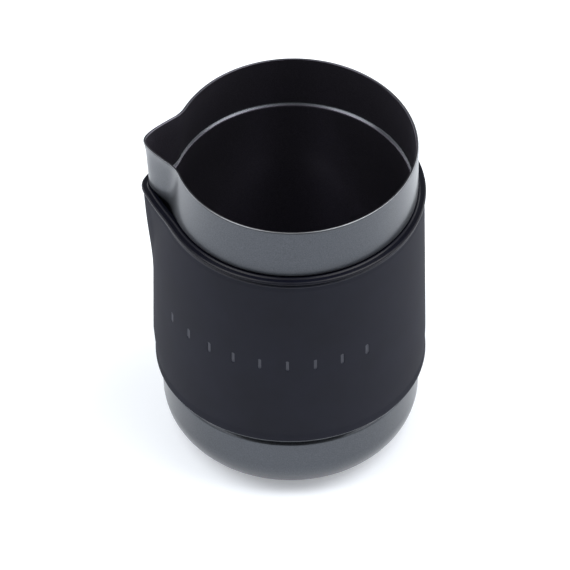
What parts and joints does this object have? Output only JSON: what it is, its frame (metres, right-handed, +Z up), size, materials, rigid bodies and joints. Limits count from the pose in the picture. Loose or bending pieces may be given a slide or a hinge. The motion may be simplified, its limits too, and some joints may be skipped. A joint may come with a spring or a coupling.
{
  "type": "milk frothing pitcher",
  "caption": "Tall handleless steel milk pitcher with a drawn pouring spout and a silicone grip sleeve seated in a recess of the wall, for steaming and pouring milk.",
  "frame": {"origin": "centre of the flat base, on the surface that the pitcher stands on", "axes": "+Z up along the vessel's axis, spout towards -X, XZ is the plane of symmetry of the form"},
  "size_m": [0.0966, 0.0928, 0.1264],
  "materials": {
    "coated_steel": "dark gunmetal metallic coating on stainless steel, satin, with a fine bright fleck",
    "silicone": "soft-touch matt black silicone with a faint bluish sheen"
  },
  "bodies": {
    "root": {"steel_body": "coated_steel", "grip_sleeve": "silicone"}
  },
  "joints": []
}
